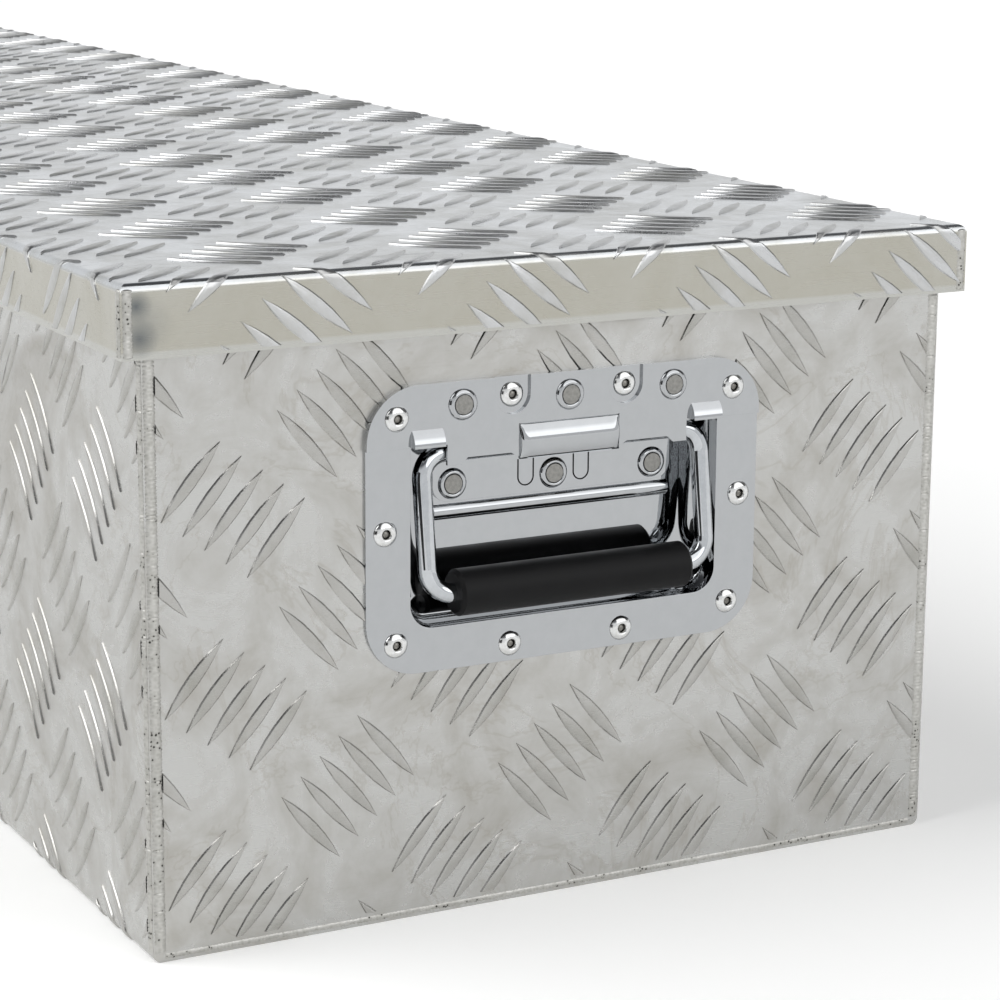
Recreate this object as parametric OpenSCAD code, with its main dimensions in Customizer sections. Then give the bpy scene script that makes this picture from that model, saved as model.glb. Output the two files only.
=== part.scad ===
// Truck tool box in tread plate: a long shallow chest with a hinged cap lid and
// a sprung recessed handle at each end.
// Frame: origin at the middle of the base, +X along the box to its right end,
// -Y to the front with the locks, +Z up. All lengths are in millimetres.

/* [Box] */
// Length of the body over its end panels
body_length = 1220; // [800:5:1500]
// Width of the body over its front and rear walls
body_width = 320; // [300:1:420]
// Height of the body from the base to its rim
body_height = 231.5; // [225:0.5:330]
// Thickness of the tread plate
sheet = 1.5; // [1.2:0.1:2]
// Outside radius of the folded bottom edges
fold_radius = 3.2; // [2.5:0.1:3.5]
// Width of the lip turned in around the rim
rim_lip = 12; // [10:1:14]

/* [Lid] */
// Depth of the lid's turned-down flange
flange_depth = 25.2; // [22:0.1:26]
// How far the lid stands out past the end panels
end_overhang = 4.8; // [4:0.1:8]
// How far the lid stands out past the front and rear walls
side_overhang = 8.5; // [8.5:0.1:10]
// Outside radius of the lid's folded edges
lid_fold = 3; // [2.5:0.5:4]
// Gap between the rim and the lid, filled by the seal
seal_gap = 3.9; // [3:0.1:5]
// Angle to which the lid opens
lid_open_angle = 80; // [60:1:85]

/* [Hinge] */
// Length of the continuous hinge
hinge_length = 1176; // [760:4:1440]
// Number of knuckles along the hinge, counting both leaves
knuckle_count = 42; // [20:2:60]
// Radius of the hinge pin
hinge_pin_r = 1.5; // [1.2:0.1:1.8]
// Outside radius of the knuckles
knuckle_r = 3.5; // [3.2:0.1:3.5]
// Thickness of the hinge leaves
leaf = 1.2; // [1:0.1:1.2]

/* [Handle] */
// Width of the handle plate
plate_w = 159; // [158:0.5:170]
// Height of the handle plate
plate_h = 103.5; // [103:0.5:110]
// Corner radius of the handle plate
plate_r = 20; // [14:1:22]
// Thickness of the handle's pressed steel
plate_t = 1.2; // [1:0.1:1.4]
// Height of the plate's centre above the base
plate_z = 142.75; // [130:0.25:150]
// Depth of the dish behind the end panel's face
dish_depth = 10.5; // [10:0.5:14]
// Radius of the bail's rod
rod_r = 3.5; // [3:0.1:3.6]
// Distance of the bail's legs from the middle
leg_u = 56.5; // [55:0.5:57]
// Distance from the bail's pivot to the middle of its grip
bail_reach = 49.7; // [46:0.1:52]
// Outward lean of the folded bail
bail_lean = 7.9; // [6:0.1:9]
// Radius of the rubber grip
grip_r = 8.4; // [7:0.1:9]

/* [Gas struts] */
// Distance of both strut pivots from the hinge
strut_radius = 118; // [100:1:125]
// Angle at the hinge between the two strut pivots with the lid shut
strut_angle = 72; // [68:1:76]
// Height of the lid's strut pivot above the hinge
strut_lid_rise = 14; // [12:1:15]
// Radius of the strut's tube
strut_tube_r = 9; // [7:0.5:9]
// Length of the tube from its pivot
strut_tube_length = 120; // [110:1:122]

/* [Locks] */
// Distance of each lock from the middle of the box
lock_x = 350; // [150:5:450]
// Height of the lock spindles above the base
lock_z = 165; // [160:1:168]
// Length of the turning T handle
lock_handle_length = 76; // [60:1:90]

/* [Hidden] */

$fn = 48;
eps = 0.01;
fit = 0.06;             // radial clearance of a pin turning in its bore
clear = 0.3;            // gap between pieces that move past each other

end_x = body_length / 2;
side_y = body_width / 2;
floor_y = side_y - fold_radius;  // where the floor ends and the folds begin
lid_x = end_x + end_overhang;
lid_y = side_y + side_overhang;
lid_under = body_height + seal_gap;
lid_top = lid_under + sheet;
flange_z = lid_top - flange_depth;

// hinge axis, just under the rear flange and outside the rear wall
hinge_y = side_y + knuckle_r;
hinge_z = flange_z - knuckle_r - 0.2;
knuckle_pitch = hinge_length / knuckle_count;
leaf_drop = 25;
lid_leaf_rise = 20;
hinge_rivets = 12;

// handle, in a frame at the middle of the plate on the end panel's face:
// u along +Y, v up, w outwards
dish_u = 62.25;
dish_low = -35.75;
dish_high = 38;
dish_r = 9;
strap_low = 29.75;
pivot_v = 26;
pivot_w = -2.8;
top_bend = 9;
low_bend = 9.5;
grip_half = 47;
pin_inner = 5;
brow_r = 8;             // pocket over each leg, the stop of the raised bail
brow_w = -2.9;
cover_r = 9.6;          // pressed cover over the spring
cover_v = 28;
cover_w = -4.6;
spring_wire = 1.2;
spring_r = 5;
spring_half = 16;
notch_u = 22.8;
notch_r = 7;
pop_r = 2.4;
pop_head_r = 4.6;
pop_head_h = 1.7;
pop_grip = plate_t + sheet;
strip_half = 48.5;
strip_low = 6.4;
strip_high = 29;
strip_r = 6;
strip_t = 1.2;
pop_points = concat(
    [for (su = [-1, 1], sv = [-1, 1]) [su * 68, sv * 40.5]],
    [for (su = [-1, 1]) [su * 72, 0]],
    [for (su = [-1, 1], sv = [-1, 1]) [su * notch_u, sv * 45.3]]
);
strap_points = [for (k = [-1:1]) [k * 42.5, 43.5]];
strip_points = [for (k = [-1:1]) [k * 40.7, 12.75]];

// gas struts: both pivots are equally far from the hinge, so the strut turns
// through exactly half the lid's angle
strut_x = end_x - 24;
strut_eye_t = 8;
strut_eye_r = 7;
stud_r = 4;
lid_pivot_y = hinge_y - sqrt(strut_radius * strut_radius - strut_lid_rise * strut_lid_rise);
lid_pivot_z = hinge_z + strut_lid_rise;
wall_pivot_a = strut_angle - asin(strut_lid_rise / strut_radius);
wall_pivot_y = hinge_y - strut_radius * cos(wall_pivot_a);
wall_pivot_z = hinge_z - strut_radius * sin(wall_pivot_a);
strut_closed = 2 * strut_radius * sin(strut_angle / 2);
strut_lean = atan2(lid_pivot_y - wall_pivot_y, lid_pivot_z - wall_pivot_z);
strut_rod_r = 4;
strut_rod_length = 112;

// locks: a hook cam behind the front wall swings over a pin hung from the lid
lock_plate = [84, 64];
lock_shank_r = 8;
cam_y = 22;             // depth of the cam behind the wall's outer face
cam_t = 3;
cam_in = 23.6;
cam_out = 30;
striker_pin_z = 18;
striker_pin_r = 2.5;

// ---------- helpers ----------

// rounded rectangle centred on the origin
module round_rect(w, h, r) {
    square([w - 2 * r, h], center = true);
    square([w, h - 2 * r], center = true);
    for (sx = [-1, 1], sy = [-1, 1])
        translate([sx * (w / 2 - r), sy * (h / 2 - r)])
            circle(r);
}

// block standing on y = 0 with its two bottom corners rounded
module tub_outline(w, h, r) {
    translate([-w / 2, r])
        square([w, h - r]);
    translate([-w / 2 + r, 0])
        square([w - 2 * r, h]);
    for (s = [-1, 1])
        translate([s * (w / 2 - r), r])
            circle(r);
}

// extrude an outline drawn in Y and Z along X, centred on the origin
module along_x(length) {
    rotate([90, 0, 90])
        linear_extrude(length, center = true)
            children();
}

// extrude an outline drawn in X and Z along Y, centred on the origin
module along_y(length) {
    rotate([90, 0, 0])
        linear_extrude(length, center = true)
            children();
}

// put a handle piece, drawn for the right end, at the right (1) or left (-1) end
module at_end(side) {
    mirror([side < 0 ? 1 : 0, 0, 0])
        translate([end_x, 0, plate_z])
            children();
}

// outline in u and v extruded outwards from w0 to w1
module plate_uv(w0, w1) {
    translate([w0, 0, 0])
        rotate([90, 0, 90])
            linear_extrude(w1 - w0)
                children();
}

// round bar along w
module peg_w(u, v, r, w0, w1) {
    translate([w0, u, v])
        rotate([0, 90, 0])
            cylinder(r = r, h = w1 - w0);
}

// round bar along u
module bar_u(v, w, r, half) {
    translate([w, 0, v])
        rotate([90, 0, 0])
            cylinder(r = r, h = 2 * half, center = true);
}

// mirror children to both sides of the plane u = 0
module both_u() {
    for (s = [0, 1])
        mirror([0, s, 0])
            children();
}

// put a lock piece, drawn for the right lock, at the right or left lock
module at_lock(side) {
    mirror([side < 0 ? 1 : 0, 0, 0])
        translate([lock_x, -side_y, lock_z])
            children();
}

// round bar along Y from y0 to y1
module peg_y(r, y0, y1) {
    translate([0, y1, 0])
        rotate([90, 0, 0])
            cylinder(r = r, h = y1 - y0);
}

// round bar along X from x0 to x1
module peg_x(r, x0, x1) {
    translate([x0, 0, 0])
        rotate([0, 90, 0])
            cylinder(r = r, h = x1 - x0);
}

// domed rivet along +Z: head on z = 0, shank and upset tail below
module dome_rivet(head_r, head_h, shank_r, grip, tail_r, tail_h) {
    ball = (head_r * head_r + head_h * head_h) / (2 * head_h);
    intersection() {
        translate([0, 0, head_h - ball])
            sphere(ball);
        cylinder(r = head_r, h = head_h);
    }
    translate([0, 0, -grip])
        cylinder(r = shank_r, h = grip + eps);
    translate([0, 0, -grip - tail_h])
        cylinder(r = tail_r, h = tail_h);
}

// ---------- body ----------

module wrapper_profile() {
    difference() {
        tub_outline(body_width, body_height, fold_radius);
        translate([0, sheet])
            tub_outline(body_width - 2 * sheet, body_height, fold_radius - sheet);
    }
    for (s = [-1, 1])
        translate([s * (side_y - sheet / 2 - rim_lip / 2), body_height - sheet / 2])
            square([rim_lip + sheet - 2 * eps, sheet], center = true);
}

// strip of the folded body sheet, between two distances across the box
module wrapper_strip(y0, y1) {
    along_x(body_length - 2 * sheet)
        intersection() {
            wrapper_profile();
            translate([y0, -1])
                square([y1 - y0, body_height + 2]);
        }
}

module floor_panel() {
    color("gainsboro")
        wrapper_strip(-floor_y, floor_y);
}

module front_wall() {
    color("gainsboro")
        difference() {
            wrapper_strip(-side_y - 1, -floor_y);
            for (side = [-1, 1])
                at_lock(side)
                    lock_wall_holes();
        }
}

module rear_wall() {
    color("gainsboro")
        difference() {
            wrapper_strip(floor_y, side_y + 1);
            hinge_holes(hinge_z - leaf_drop / 2 - knuckle_r, side_y);
        }
}

module end_panel() {
    lip_span = body_width - 2 * sheet - 2 * rim_lip - 0.4;
    difference() {
        union() {
            translate([end_x - sheet / 2, 0, 0])
                along_x(sheet)
                    tub_outline(body_width, body_height, fold_radius);
            translate([end_x - sheet - rim_lip, -lip_span / 2, body_height - sheet])
                cube([rim_lip + eps, lip_span, sheet]);
        }
        translate([end_x, 0, plate_z]) {
            translate([0, 0, (dish_low + dish_high) / 2])
                plate_uv(-2 * sheet, sheet)
                    round_rect(2 * dish_u + 4, dish_high - dish_low + 4, dish_r + 2);
            for (p = pop_points)
                peg_w(p[0], p[1], pop_r + fit, -2 * sheet, sheet);
        }
    }
}

module end_panel_right() {
    color("gainsboro")
        end_panel();
}

module end_panel_left() {
    color("gainsboro")
        mirror([1, 0, 0])
            end_panel();
}

// seam weld along the two upright corners and the bottom edge of one end panel
module end_weld() {
    bead_r = 3.5;
    bead_in = 2.4;
    seam_r = 2.2;
    difference() {
        union() {
            for (s = [-1, 1])
                translate([end_x - bead_in, s * (side_y - bead_in), bead_r])
                    cylinder(r = bead_r, h = body_height - 2 * bead_r);
            translate([end_x - 1.6, 0, seam_r])
                rotate([90, 0, 0])
                    cylinder(r = seam_r, h = body_width - 2 * bead_r, center = true);
            for (s = [-1, 1])
                translate([end_x - bead_in, s * (side_y - bead_in), bead_r])
                    sphere(bead_r);
        }
        translate([end_x / 2, 0, 0])
            along_x(end_x)
                tub_outline(body_width, body_height, fold_radius);
    }
}

module body_welds() {
    color("silver")
        for (side = [0, 1])
            mirror([side, 0, 0])
                end_weld();
}

// ---------- lid ----------

module lid_block(x, y, top, bottom, r) {
    intersection() {
        translate([0, 0, top])
            mirror([0, 0, 1])
                along_x(2 * x)
                    tub_outline(2 * y, top - bottom, r);
        translate([0, 0, top])
            mirror([0, 0, 1])
                along_y(2 * y)
                    tub_outline(2 * x, top - bottom, r);
    }
}

module lid_sheet() {
    color("lightgray")
        difference() {
            lid_block(lid_x, lid_y, lid_top, flange_z, lid_fold);
            lid_block(lid_x - sheet, lid_y - sheet, lid_under, flange_z - 5, lid_fold - sheet);
            hinge_holes(lid_rivet_z(), lid_y);
        }
}

// ground corner weld with a small bulge at the top
module lid_weld() {
    bead_r = 3.2;
    bead_in = 2.2;
    difference() {
        union() {
            translate([lid_x - bead_in, lid_y - bead_in, flange_z])
                cylinder(r = bead_r, h = flange_depth - bead_r);
            translate([lid_x - bead_in, lid_y - bead_in, lid_top - bead_r + 1])
                sphere(bead_r);
        }
        lid_block(lid_x, lid_y, lid_top, flange_z - 5, lid_fold);
    }
}

module lid_welds() {
    color("silver")
        for (sx = [0, 1], sy = [0, 1])
            mirror([sx, 0, 0])
                mirror([0, sy, 0])
                    lid_weld();
}

module lid_seal() {
    color("#222222")
        translate([0, 0, body_height + clear])
            linear_extrude(seal_gap - clear)
                difference() {
                    square([body_length - 6, body_width - 6], center = true);
                    square([body_length - 2 * rim_lip, body_width - 2 * rim_lip], center = true);
                }
}

// pressed hat sections across the underside of the lid
module lid_braces() {
    brace_w = 36;
    brace_h = 11;
    brace_t = 1.5;
    brace_half = side_y - rim_lip - 18;
    color("silver")
        for (x = [-200, 200])
            translate([x, 0, lid_under])
                mirror([0, 0, 1])
                    rotate([90, 0, 0])
                        linear_extrude(2 * brace_half, center = true)
                            difference() {
                                union() {
                                    translate([-brace_w / 2, 0])
                                        square([brace_w, brace_h]);
                                    translate([-brace_w / 2 - 12, 0])
                                        square([brace_w + 24, brace_t]);
                                }
                                translate([-brace_w / 2 + brace_t, -eps])
                                    square([brace_w - 2 * brace_t, brace_h - brace_t + eps]);
                            }
}

// ---------- hinge ----------

function hinge_rivet_x(k) = -hinge_length / 2 + (k + 0.5) * hinge_length / hinge_rivets;
function lid_rivet_z() = flange_z + 11;

module hinge_holes(z, y) {
    for (k = [0:hinge_rivets - 1])
        translate([hinge_rivet_x(k), 0, z])
            peg_y(2 + fit, y - 3 * sheet, y + 2 * leaf);
}

// one leaf: first is 0 or 1, the parity of its knuckles; up is 1 for the lid's leaf
module hinge_leaf(first, up, plane_y, reach, rivet_z) {
    edge = knuckle_r + 0.2;
    low = up > 0 ? hinge_z + edge : hinge_z - reach;
    difference() {
        union() {
            translate([-hinge_length / 2, plane_y, low])
                cube([hinge_length, leaf, reach - edge]);
            for (k = [first:2:knuckle_count - 1])
                translate([-hinge_length / 2 + (k + 0.5) * knuckle_pitch, 0, 0]) {
                    translate([0, hinge_y, hinge_z])
                        rotate([0, 90, 0])
                            cylinder(r = knuckle_r, h = knuckle_pitch - 2 * clear, center = true);
                    translate([-knuckle_pitch / 2 + clear, plane_y, up > 0 ? hinge_z : hinge_z - edge - eps])
                        cube([knuckle_pitch - 2 * clear, leaf, edge + eps]);
                }
        }
        translate([0, hinge_y, hinge_z])
            rotate([0, 90, 0])
                cylinder(r = hinge_pin_r + fit, h = hinge_length + 10, center = true);
        hinge_holes(rivet_z, plane_y);
    }
}

module hinge_body_leaf() {
    color("silver")
        hinge_leaf(0, -1, side_y, leaf_drop, hinge_z - leaf_drop / 2 - knuckle_r);
}

module hinge_lid_leaf() {
    color("silver")
        hinge_leaf(1, 1, lid_y - sheet - leaf, lid_leaf_rise, lid_rivet_z());
}

module hinge_pin() {
    color("gray")
        translate([0, hinge_y, hinge_z])
            rotate([0, 90, 0])
                cylinder(r = hinge_pin_r, h = hinge_length + 2, center = true);
}

module hinge_rivet_row(z, y, grip) {
    for (k = [0:hinge_rivets - 1])
        translate([hinge_rivet_x(k), y, z])
            rotate([-90, 0, 0])
                dome_rivet(3.6, 1.7, 2, grip, 2.8, 1);
}

module hinge_body_rivets() {
    color("silver")
        hinge_rivet_row(hinge_z - leaf_drop / 2 - knuckle_r, side_y + leaf, leaf + sheet);
}

module hinge_lid_rivets() {
    color("silver")
        hinge_rivet_row(lid_rivet_z(), lid_y, leaf + sheet);
}

// ---------- handle ----------

// the hollow of a pressed dish whose rounded edges have radius r
module dish_hollow(u, low, high, depth, r) {
    mid = (low + high) / 2;
    half = (high - low) / 2;
    translate([0, 0, mid]) {
        plate_uv(-depth + r, plate_t + 1)
            round_rect(2 * u, 2 * half, r);
        plate_uv(-depth, -depth + r + eps)
            square([2 * (u - r), 2 * (half - r)], center = true);
        for (s = [-1, 1]) {
            translate([-depth + r, 0, s * (half - r)])
                rotate([90, 0, 0])
                    cylinder(r = r, h = 2 * (u - r), center = true);
            translate([-depth + r, s * (u - r), 0])
                cylinder(r = r, h = 2 * (half - r), center = true);
            for (t = [-1, 1])
                translate([-depth + r, s * (u - r), t * (half - r)])
                    sphere(r);
        }
    }
}

module handle_dish() {
    rib_v = 2.6;
    rib_r = 3.2;
    rib_w = -dish_depth - 1.6;
    difference() {
        union() {
            plate_uv(0, plate_t)
                round_rect(plate_w, plate_h, plate_r);
            intersection() {
                dish_hollow(dish_u + plate_t, dish_low - plate_t, dish_high + plate_t,
                            dish_depth + plate_t, dish_r + plate_t);
                plate_uv(-dish_depth - 2 * plate_t, plate_t)
                    square([plate_w, plate_h], center = true);
            }
        }
        difference() {
            dish_hollow(dish_u, dish_low, dish_high, dish_depth, dish_r);
            bar_u(rib_v, rib_w, rib_r, strip_half - 0.5);
        }
        bar_u(rib_v, rib_w, rib_r - plate_t, strip_half - 0.5 - plate_t);
        for (p = pop_points)
            peg_w(p[0], p[1], pop_r + fit, -1, plate_t + 1);
        for (p = strap_points)
            peg_w(p[0], p[1], 2.5 + fit, -1, plate_t + 1);
        for (p = strip_points)
            peg_w(p[0], p[1], 2.5 + fit, -dish_depth - 2 * plate_t, -dish_depth + 1);
    }
}

// the strap's outline: the top of the plate with tongues, a spring cover and two notches
module strap_outline() {
    difference() {
        round_rect(plate_w, plate_h, plate_r);
        polygon([
            [-plate_w, strap_low], [-48.5, strap_low], [-48.5, 22.25], [-43, 22.25],
            [-40.5, 24.5], [-23.5, 24.5], [-18.5, 22], [18.5, 22],
            [23.5, 24.5], [40.5, 24.5], [43, 22.25], [48.5, 22.25],
            [48.5, strap_low], [plate_w, strap_low], [plate_w, -plate_h], [-plate_w, -plate_h]
        ]);
        for (s = [-1, 1])
            translate([s * notch_u, 45.3]) {
                circle(notch_r);
                translate([-notch_r, 0])
                    square([2 * notch_r, 20]);
            }
    }
}

module handle_strap() {
    brow_half = 6;
    brow_u = 56.3;
    cover_half = 20;
    difference() {
        union() {
            plate_uv(plate_t, 2 * plate_t)
                strap_outline();
            intersection() {
                union() {
                    both_u()
                        translate([0, brow_u, 0])
                            bar_u(strap_low, brow_w, brow_r, brow_half);
                    bar_u(cover_v, cover_w, cover_r, cover_half);
                }
                plate_uv(plate_t, 20)
                    difference() {
                        round_rect(plate_w, plate_h, plate_r);
                        translate([-plate_w, -plate_h])
                            square([plate_w * 2, plate_h + 22]);
                        for (s = [-1, 1])
                            translate([s * 60, 0])
                                square([40, 2 * strap_low], center = true);
                    }
            }
            for (p = strap_points)
                peg_w(p[0], p[1], 5, 2 * plate_t, 2 * plate_t + 0.5);
        }
        both_u()
            translate([0, brow_u, 0])
                bar_u(strap_low, brow_w, brow_r - plate_t, brow_half - plate_t);
        bar_u(cover_v, cover_w, cover_r - plate_t, cover_half - plate_t);
        for (p = pop_points)
            peg_w(p[0], p[1], pop_r + fit, 0, 2 * plate_t + 1);
        for (p = strap_points)
            peg_w(p[0], p[1], 2.5 + fit, 0, 2 * plate_t + 1);
    }
}

// strip riveted in the dish, with two saddles behind the bail's pins
module handle_bracket() {
    back = -dish_depth;
    difference() {
        union() {
            plate_uv(back, back + strip_t)
                difference() {
                    translate([-strip_half, strip_low])
                        square([2 * strip_half, strip_high - strip_low]);
                    for (s = [-1, 1])
                        translate([s * strip_half, strip_low])
                            rotate(s > 0 ? 90 : 0)
                                difference() {
                                    square(2 * strip_r, center = true);
                                    translate([strip_r, strip_r])
                                        circle(strip_r);
                                    translate([strip_r, -strip_r])
                                        square(4 * strip_r);
                                    translate([-strip_r, strip_r])
                                        square(4 * strip_r);
                                }
                }
            both_u()
                translate([back, 29, 22.8])
                    cube([5.5, 8, 6.2]);
        }
        bar_u(pivot_v, pivot_w, rod_r + clear, strip_half);
        for (p = strip_points)
            peg_w(p[0], p[1], 2.5 + fit, back - 1, back + 3);
    }
}

// close-wound torsion spring around the bail's pins
module handle_spring() {
    turns = floor(2 * spring_half / spring_wire) - 1;
    ring_r = spring_r - spring_wire / 2;
    translate([pivot_w, 0, pivot_v])
        rotate([90, 0, 0])
            rotate_extrude()
                for (k = [0:turns])
                    translate([ring_r, (k - turns / 2) * spring_wire * 0.98])
                        circle(spring_wire / 2, $fn = 16);
}

module handle_rivets() {
    for (p = pop_points) {
        on_strap = abs(p[0]) > 60 && p[1] > strap_low;
        seat = on_strap ? 2 * plate_t : plate_t;
        translate([seat, p[0], p[1]])
            rotate([0, 90, 0])
                difference() {
                    dome_rivet(pop_head_r, pop_head_h, pop_r, seat + sheet, 3.2, 3.5);
                    translate([0, 0, 0.2])
                        cylinder(r = 1.5, h = 4);
                }
    }
}

// solid rivets: three through the strap, three through the strip in the dish
module strap_rivets() {
    for (p = strap_points)
        translate([2 * plate_t + 0.5, p[0], p[1]])
            rotate([0, 90, 0]) {
                cylinder(r = 3.4, h = 0.6);
                translate([0, 0, -2 * plate_t - 0.5])
                    cylinder(r = 2.5, h = 2 * plate_t + 0.6);
            }
    for (p = strip_points)
        translate([-dish_depth + strip_t, p[0], p[1]])
            rotate([0, 90, 0]) {
                cylinder(r = 3.4, h = 1.1);
                translate([0, 0, -strip_t - plate_t])
                    cylinder(r = 2.5, h = strip_t + plate_t + 0.1);
                translate([0, 0, -strip_t - plate_t - 1.2])
                    cylinder(r = 4, h = 1.2);
            }
}

// quarter bend of the rod in the u-v plane, centre at the origin, from +u to -v
module rod_bend(r) {
    rotate([90, 0, 90])
        rotate_extrude(angle = 90)
            translate([r, 0])
                circle(rod_r);
}

module bail() {
    leg_top = -top_bend;
    leg_low = -bail_reach + low_bend;
    translate([pivot_w, 0, pivot_v])
        rotate([0, -bail_lean, 0])
            both_u() {
                translate([0, pin_inner, 0])
                    rotate([-90, 0, 0])
                        cylinder(r = rod_r, h = leg_u - top_bend - pin_inner);
                translate([0, leg_u - top_bend, leg_top])
                    rod_bend(top_bend);
                translate([0, leg_u, leg_low])
                    cylinder(r = rod_r, h = leg_top - leg_low);
                translate([0, leg_u - low_bend, leg_low])
                    rotate([-90, 0, 0])
                        rod_bend(low_bend);
                translate([0, -eps, -bail_reach])
                    rotate([-90, 0, 0])
                        cylinder(r = rod_r, h = leg_u - low_bend + eps);
            }
}

// moulded rubber sleeve with eased ends
module grip() {
    ease = 1.2;
    translate([pivot_w, 0, pivot_v])
        rotate([0, -bail_lean, 0])
            translate([0, 0, -bail_reach])
                rotate([90, 0, 0])
                    rotate_extrude()
                        polygon([
                            [rod_r, -grip_half], [grip_r - ease, -grip_half],
                            [grip_r, -grip_half + ease], [grip_r, grip_half - ease],
                            [grip_r - ease, grip_half], [rod_r, grip_half]
                        ]);
}

module handle_dish_right() { color("silver") at_end(1) handle_dish(); }
module handle_dish_left() { color("silver") at_end(-1) handle_dish(); }
module handle_strap_right() { color("silver") at_end(1) handle_strap(); }
module handle_strap_left() { color("silver") at_end(-1) handle_strap(); }
module handle_bracket_right() { color("silver") at_end(1) handle_bracket(); }
module handle_bracket_left() { color("silver") at_end(-1) handle_bracket(); }
module handle_spring_right() { color("dimgray") at_end(1) handle_spring(); }
module handle_spring_left() { color("dimgray") at_end(-1) handle_spring(); }
module handle_rivets_right() { color("whitesmoke") at_end(1) handle_rivets(); }
module handle_rivets_left() { color("whitesmoke") at_end(-1) handle_rivets(); }
module strap_rivets_right() { color("darkgray") at_end(1) strap_rivets(); }
module strap_rivets_left() { color("darkgray") at_end(-1) strap_rivets(); }
module bail_right() { color("silver") at_end(1) bail(); }
module bail_left() { color("silver") at_end(-1) bail(); }
module grip_right() { color("#202020") at_end(1) grip(); }
module grip_left() { color("#202020") at_end(-1) grip(); }

// ---------- gas struts ----------

module at_strut(side) {
    mirror([side < 0 ? 1 : 0, 0, 0])
        children();
}

// place children with +Z along the shut strut, from its pivot on the end wall
module along_strut() {
    translate([strut_x, wall_pivot_y, wall_pivot_z])
        rotate([-strut_lean, 0, 0])
            children();
}

// angled bracket on the end wall with the stud that the tube turns on
module strut_wall_bracket() {
    wall = end_x - sheet;
    translate([0, wall_pivot_y, wall_pivot_z]) {
        difference() {
            union() {
                translate([wall - 2, -14, -18])
                    cube([2, 28, 36]);
                translate([wall - 12, -14, -18])
                    cube([11, 28, 2]);
                translate([wall - 12, -14, -18])
                    cube([2, 28, 30]);
            }
            for (s = [-1, 1])
                translate([0, s * 9, 14.5])
                    peg_x(2, wall - 5, wall - 1.9);
        }
        peg_x(stud_r, strut_x - strut_eye_t / 2 - 2, wall - 11);
        peg_x(stud_r + 2, strut_x - strut_eye_t / 2 - 2, strut_x - strut_eye_t / 2 - clear);
    }
}

module strut_lid_bracket() {
    face = strut_x + strut_eye_t / 2 + 1;
    translate([0, lid_pivot_y, lid_pivot_z]) {
        translate([face, 0, 0])
            rotate([90, 0, 90])
                linear_extrude(2) {
                    circle(8);
                    translate([-8, 0])
                        square([16, lid_under - lid_pivot_z]);
                }
        translate([face - 14, -16, lid_under - lid_pivot_z - 2])
            cube([16, 32, 2]);
    }
}

module strut_tube() {
    wall = 1.2;
    neck = 12;
    cavity_low = 15;
    cavity_high = strut_tube_length - 4;
    along_strut()
        difference() {
            union() {
                rotate_extrude()
                    polygon([
                        [0, 0], [stud_r, 0], [stud_r, neck], [strut_tube_r, neck],
                        [strut_tube_r, strut_tube_length], [strut_rod_r + fit, strut_tube_length],
                        [strut_rod_r + fit, cavity_high], [strut_tube_r - wall, cavity_high],
                        [strut_tube_r - wall, cavity_low], [0, cavity_low]
                    ]);
                peg_x(strut_eye_r, -strut_eye_t / 2, strut_eye_t / 2);
            }
            peg_x(stud_r + fit, -strut_eye_t, strut_eye_t);
        }
}

module strut_rod() {
    foot = strut_closed - strut_eye_r - strut_rod_length;
    along_strut() {
        translate([0, 0, foot])
            cylinder(r = strut_rod_r, h = strut_rod_length + 1);
        translate([0, 0, foot])
            cylinder(r = strut_tube_r - 1.5, h = 5);
        translate([0, 0, strut_closed]) {
            peg_x(strut_eye_r, -strut_eye_t / 2, strut_eye_t / 2);
            peg_x(stud_r, -strut_eye_t / 2 - 1, strut_eye_t / 2 + 1 - clear);
        }
    }
}

module strut_wall_bracket_right() { color("gray") at_strut(1) strut_wall_bracket(); }
module strut_wall_bracket_left() { color("gray") at_strut(-1) strut_wall_bracket(); }
module strut_lid_bracket_right() { color("gray") at_strut(1) strut_lid_bracket(); }
module strut_lid_bracket_left() { color("gray") at_strut(-1) strut_lid_bracket(); }
module strut_tube_right() { color("#303030") at_strut(1) strut_tube(); }
module strut_tube_left() {
    color("#303030")
        translate([-2 * strut_x, 0, 0])
            strut_tube();
}
module strut_rod_right() { color("lightgray") at_strut(1) strut_rod(); }
module strut_rod_left() { color("lightgray") at_strut(-1) strut_rod(); }

// ---------- locks ----------

lock_bolt_points = [for (sx = [-1, 1], sz = [-1, 1]) [sx * 32, sz * 22]];

module lock_wall_holes() {
    peg_y(lock_shank_r + 1, -1, 2 * sheet);
    for (p = lock_bolt_points)
        translate([p[0], 0, p[1]])
            peg_y(2.5 + fit, -1, 2 * sheet);
}

module lock_base() {
    boss_h = 4;
    difference() {
        union() {
            rotate([90, 0, 0])
                linear_extrude(2.5)
                    round_rect(lock_plate[0], lock_plate[1], 8);
            peg_y(18, -2.5 - boss_h, 0);
        }
        peg_y(lock_shank_r + fit, -10, 2);
        for (p = lock_bolt_points)
            translate([p[0], 0, p[1]])
                peg_y(2.5 + fit, -5, 1);
    }
}

module lock_bolts() {
    for (p = lock_bolt_points)
        translate([p[0], -2.5, p[1]])
            rotate([90, 0, 0])
                dome_rivet(4.5, 2.2, 2.5, 2.5 + sheet, 4, 3);
}

module lock_handle() {
    bar_r = 7;
    bar_y = -17.5;
    half = lock_handle_length / 2 - bar_r;
    difference() {
        union() {
            translate([0, bar_y, 0])
                peg_x(bar_r, -half, half);
            for (s = [-1, 1])
                translate([s * half, bar_y, 0])
                    sphere(bar_r);
            peg_y(11, bar_y - bar_r + 1, -7);
            peg_y(lock_shank_r, -8, cam_y - 1);
            peg_y(4, cam_y - 2, cam_y + 11);
        }
        peg_y(6, -30, bar_y - bar_r + 4);
    }
}

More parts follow.
